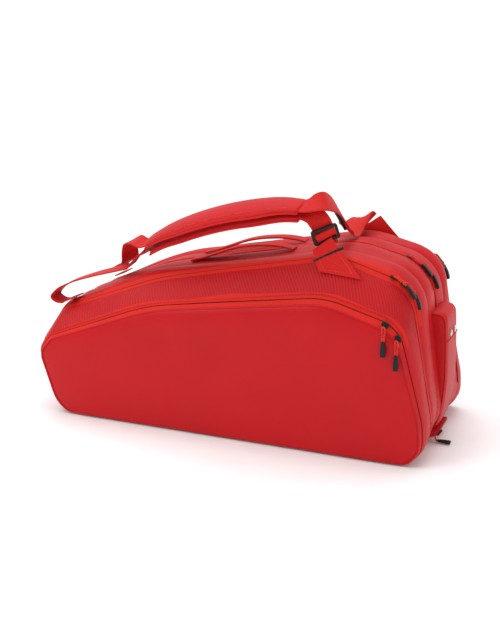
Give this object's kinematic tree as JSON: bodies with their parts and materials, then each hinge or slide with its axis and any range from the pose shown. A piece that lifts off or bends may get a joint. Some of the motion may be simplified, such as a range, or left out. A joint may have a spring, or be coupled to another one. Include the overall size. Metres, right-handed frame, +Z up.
{
  "type": "racket tournament bag",
  "caption": "Soft tournament bag for rackets with full-length zippered bays, face pockets, an end pocket, carry handles and shoulder straps.",
  "frame": {"origin": "on the floor under the middle of the bag's footprint", "axes": "+X along the bag from the narrow nose to the wide end, -Y towards the front face, +Z up"},
  "size_m": [0.7878, 0.3416, 0.4569],
  "materials": {
    "coated_panel_cloth": "smooth coated panel cloth",
    "ribbed_gusset_cloth": "fine diagonal ribs",
    "gusset_cloth": "plain weave with a soft sheen",
    "webbing_and_tape": "flat woven webbing and zipper tape",
    "padded_cloth": "matt padded cloth",
    "lining_cloth": "plain dark lining",
    "stiffener_board": "thin polypropylene board",
    "moulded_black": "moulded acetal and cord",
    "nickel_snap": "nickel-plated snap cap"
  },
  "bodies": {
    "carcass": {"bottom_panel": "gusset_cloth", "stiffener_board": "stiffener_board", "centre_gusset_front": "gusset_cloth", "centre_gusset_rear": "gusset_cloth", "divider_front": "lining_cloth", "divider_rear": "lining_cloth", "front_inner_gusset": "gusset_cloth", "rear_inner_gusset": "gusset_cloth", "centre_coil": "webbing_and_tape", "front_strap_loop_left": "webbing_and_tape", "front_strap_anchor_left": "webbing_and_tape", "rear_strap_loop_left": "webbing_and_tape", "rear_strap_anchor_left": "webbing_and_tape", "rear_strap_loop_right": "webbing_and_tape", "front_strap_bar": "moulded_black", "rear_strap_bar": "moulded_black"},
    "front_bay_flap": {"front_ribbed_gusset": "ribbed_gusset_cloth", "front_bay_wall": "lining_cloth", "front_main_coil": "webbing_and_tape", "front_pocket_coil": "webbing_and_tape", "front_strap_tab": "webbing_and_tape"},
    "rear_bay_flap": {"rear_ribbed_gusset": "ribbed_gusset_cloth", "rear_bay_wall": "lining_cloth", "rear_main_coil": "webbing_and_tape", "rear_pocket_coil": "webbing_and_tape", "rear_strap_tab": "webbing_and_tape"},
    "front_pocket_flap": {"front_pocket_panel": "coated_panel_cloth"},
    "rear_pocket_flap": {"rear_pocket_panel": "coated_panel_cloth"},
    "end_pocket_flap": {"end_pocket_cover": "gusset_cloth", "end_pocket_snap": "nickel_snap"},
    "front_strap": {"front_strap_pad": "padded_cloth", "front_strap_web_left": "webbing_and_tape", "front_strap_web_right": "webbing_and_tape"},
    "rear_strap": {"rear_strap_pad": "padded_cloth", "rear_strap_web_left": "webbing_and_tape", "rear_strap_web_right": "webbing_and_tape"},
    "front_lock": {"front_ladder_lock": "moulded_black"},
    "rear_lock": {"rear_ladder_lock": "moulded_black"},
    "front_handle": {"front_carry_handle": "padded_cloth"},
    "rear_handle": {"rear_carry_handle": "padded_cloth"},
    "front_main_upper_slider": {"front_main_upper_slider": "moulded_black"},
    "front_main_upper_pull": {"front_main_upper_pull": "moulded_black"},
    "front_main_lower_slider": {"front_main_lower_slider": "moulded_black"},
    "front_main_lower_pull": {"front_main_lower_pull": "moulded_black"},
    "centre_upper_slider": {"centre_upper_slider": "moulded_black"},
    "centre_upper_pull": {"centre_upper_pull": "moulded_black"},
    "centre_lower_slider": {"centre_lower_slider": "moulded_black"},
    "centre_lower_pull": {"centre_lower_pull": "moulded_black"},
    "rear_main_upper_slider": {"rear_main_upper_slider": "moulded_black"},
    "rear_main_upper_pull": {"rear_main_upper_pull": "moulded_black"},
    "rear_main_lower_slider": {"rear_main_lower_slider": "moulded_black"},
    "rear_main_lower_pull": {"rear_main_lower_pull": "moulded_black"},
    "front_pocket_upper_slider": {"front_pocket_upper_slider": "moulded_black"},
    "front_pocket_upper_pull": {"front_pocket_upper_pull": "moulded_black"},
    "front_pocket_lower_slider": {"front_pocket_lower_slider": "moulded_black"},
    "front_pocket_lower_pull": {"front_pocket_lower_pull": "moulded_black"},
    "rear_pocket_upper_slider": {"rear_pocket_upper_slider": "moulded_black"},
    "rear_pocket_upper_pull": {"rear_pocket_upper_pull": "moulded_black"},
    "end_pocket_slider": {"end_pocket_slider": "moulded_black"},
    "end_pocket_pull": {"end_pocket_pull": "moulded_black"}
  },
  "joints": [
    {"name": "front_bay_opening", "type": "hinge", "parent": "carcass", "child": "front_bay_flap", "pos_m": [0, -0.148, 0.01], "axis": [1, 0, 0], "range_deg": [0, 10]},
    {"name": "rear_bay_opening", "type": "hinge", "parent": "carcass", "child": "rear_bay_flap", "pos_m": [0, 0.148, 0.01], "axis": [-1, 0, 0], "range_deg": [0, 10]},
    {"name": "front_pocket_opening", "type": "hinge", "parent": "front_bay_flap", "child": "front_pocket_flap", "pos_m": [0, -0.156, 0.012], "axis": [1, 0, 0], "range_deg": [0, 25]},
    {"name": "rear_pocket_opening", "type": "hinge", "parent": "rear_bay_flap", "child": "rear_pocket_flap", "pos_m": [0, 0.156, 0.012], "axis": [-1, 0, 0], "range_deg": [0, 25]},
    {"name": "end_pocket_opening", "type": "hinge", "parent": "carcass", "child": "end_pocket_flap", "pos_m": [0.38393, 0.042, 0.137], "axis": [0, 0, 1], "range_deg": [0, 60]},
    {"name": "front_strap_swing", "type": "hinge", "parent": "carcass", "child": "front_strap", "pos_m": [-0.23407, -0.053, 0.283], "axis": [0.9663, -0.1142, 0.2309], "range_deg": [0, 15]},
    {"name": "rear_strap_swing", "type": "hinge", "parent": "carcass", "child": "rear_strap", "pos_m": [-0.25307, -0.024, 0.297], "axis": [-0.9813, -0.0595, -0.183], "range_deg": [0, 80]},
    {"name": "front_lock_adjustment", "type": "slide", "parent": "front_strap", "child": "front_lock", "axis": [-0.2346, -0.2378, 0.9426], "range_m": [-0.004, 0.002]},
    {"name": "rear_lock_adjustment", "type": "slide", "parent": "rear_strap", "child": "rear_lock", "axis": [-0.002, -0.7819, 0.6234], "range_m": [-0.006, 0.006]},
    {"name": "front_handle_swing", "type": "hinge", "parent": "carcass", "child": "front_handle", "pos_m": [-0.11307, -0.033, 0.298], "axis": [0.9813, 0, 0.1924], "range_deg": [0, 25]},
    {"name": "rear_handle_swing", "type": "hinge", "parent": "carcass", "child": "rear_handle", "pos_m": [-0.11307, 0.033, 0.298], "axis": [-0.9813, 0, -0.1924], "range_deg": [0, 25]},
    {"name": "front_main_upper_slider_travel", "type": "hinge", "parent": "carcass", "child": "front_main_upper_slider", "pos_m": [0.26613, -0.108, 0.2545], "axis": [0, -1, 0], "range_deg": [0, 10]},
    {"name": "front_main_upper_pull_lift", "type": "hinge", "parent": "front_main_upper_slider", "child": "front_main_upper_pull", "pos_m": [0.2981, -0.1135, 0.3263], "axis": [0, -1, 0], "range_deg": [0, 90]},
    {"name": "front_main_lower_slider_travel", "type": "hinge", "parent": "carcass", "child": "front_main_lower_slider", "pos_m": [0.26613, -0.108, 0.2545], "axis": [0, 1, 0], "range_deg": [0, 10]},
    {"name": "front_main_lower_pull_lift", "type": "hinge", "parent": "front_main_lower_slider", "child": "front_main_lower_pull", "pos_m": [0.31665, -0.1025, 0.31471], "axis": [0, -1, 0], "range_deg": [0, 90]},
    {"name": "centre_upper_slider_travel", "type": "hinge", "parent": "carcass", "child": "centre_upper_slider", "pos_m": [0.2595, 0, 0.25143], "axis": [0, -1, 0], "range_deg": [0, 12]},
    {"name": "centre_upper_pull_lift", "type": "hinge", "parent": "centre_upper_slider", "child": "centre_upper_pull", "pos_m": [0.29758, -0.0055, 0.33693], "axis": [0, -1, 0], "range_deg": [0, 90]},
    {"name": "centre_lower_slider_travel", "type": "hinge", "parent": "carcass", "child": "centre_lower_slider", "pos_m": [0.2595, 0, 0.25143], "axis": [0, 1, 0], "range_deg": [0, 15]},
    {"name": "centre_lower_pull_lift", "type": "hinge", "parent": "centre_lower_slider", "child": "centre_lower_pull", "pos_m": [0.31967, 0.0055, 0.32313], "axis": [0, -1, 0], "range_deg": [0, 90]},
    {"name": "rear_main_upper_slider_travel", "type": "hinge", "parent": "carcass", "child": "rear_main_upper_slider", "pos_m": [0.26613, 0.108, 0.2545], "axis": [0, -1, 0], "range_deg": [0, 10]},
    {"name": "rear_main_upper_pull_lift", "type": "hinge", "parent": "rear_main_upper_slider", "child": "rear_main_upper_pull", "pos_m": [0.2981, 0.1025, 0.3263], "axis": [0, -1, 0], "range_deg": [0, 90]},
    {"name": "rear_main_lower_slider_travel", "type": "hinge", "parent": "carcass", "child": "rear_main_lower_slider", "pos_m": [0.26613, 0.108, 0.2545], "axis": [0, 1, 0], "range_deg": [0, 10]},
    {"name": "rear_main_lower_pull_lift", "type": "hinge", "parent": "rear_main_lower_slider", "child": "rear_main_lower_pull", "pos_m": [0.31665, 0.1135, 0.31471], "axis": [0, -1, 0], "range_deg": [0, 90]},
    {"name": "front_pocket_upper_slider_travel", "type": "hinge", "parent": "front_pocket_flap", "child": "front_pocket_upper_slider", "pos_m": [0.26925, -0.1575, 0.19853], "axis": [0, -1, 0], "range_deg": [0, 15]},
    {"name": "front_pocket_upper_pull_lift", "type": "hinge", "parent": "front_pocket_upper_slider", "child": "front_pocket_upper_pull", "pos_m": [0.29788, -0.1686, 0.25239], "axis": [-1, 0, 0], "range_deg": [0, 90]},
    {"name": "front_pocket_lower_slider_travel", "type": "hinge", "parent": "front_pocket_flap", "child": "front_pocket_lower_slider", "pos_m": [0.26925, -0.1575, 0.19853], "axis": [0, 1, 0], "range_deg": [0, 20]},
    {"name": "front_pocket_lower_pull_lift", "type": "hinge", "parent": "front_pocket_lower_slider", "child": "front_pocket_lower_pull", "pos_m": [0.32098, -0.1686, 0.23085], "axis": [-1, 0, 0], "range_deg": [0, 90]},
    {"name": "rear_pocket_upper_slider_travel", "type": "hinge", "parent": "rear_pocket_flap", "child": "rear_pocket_upper_slider", "pos_m": [0.26925, 0.1575, 0.19853], "axis": [0, -1, 0], "range_deg": [0, 15]},
    {"name": "rear_pocket_upper_pull_lift", "type": "hinge", "parent": "rear_pocket_upper_slider", "child": "rear_pocket_upper_pull", "pos_m": [0.29788, 0.1686, 0.25239], "axis": [1, 0, 0], "range_deg": [0, 90]},
    {"name": "end_pocket_slider_travel", "type": "slide", "parent": "carcass", "child": "end_pocket_slider", "axis": [0, 1, 0], "range_m": [0, 0.06]},
    {"name": "end_pocket_pull_lift", "type": "hinge", "parent": "end_pocket_slider", "child": "end_pocket_pull", "pos_m": [0.35993, -0.034, 0.0049], "axis": [0, -1, 0], "range_deg": [0, 25]}
  ]
}
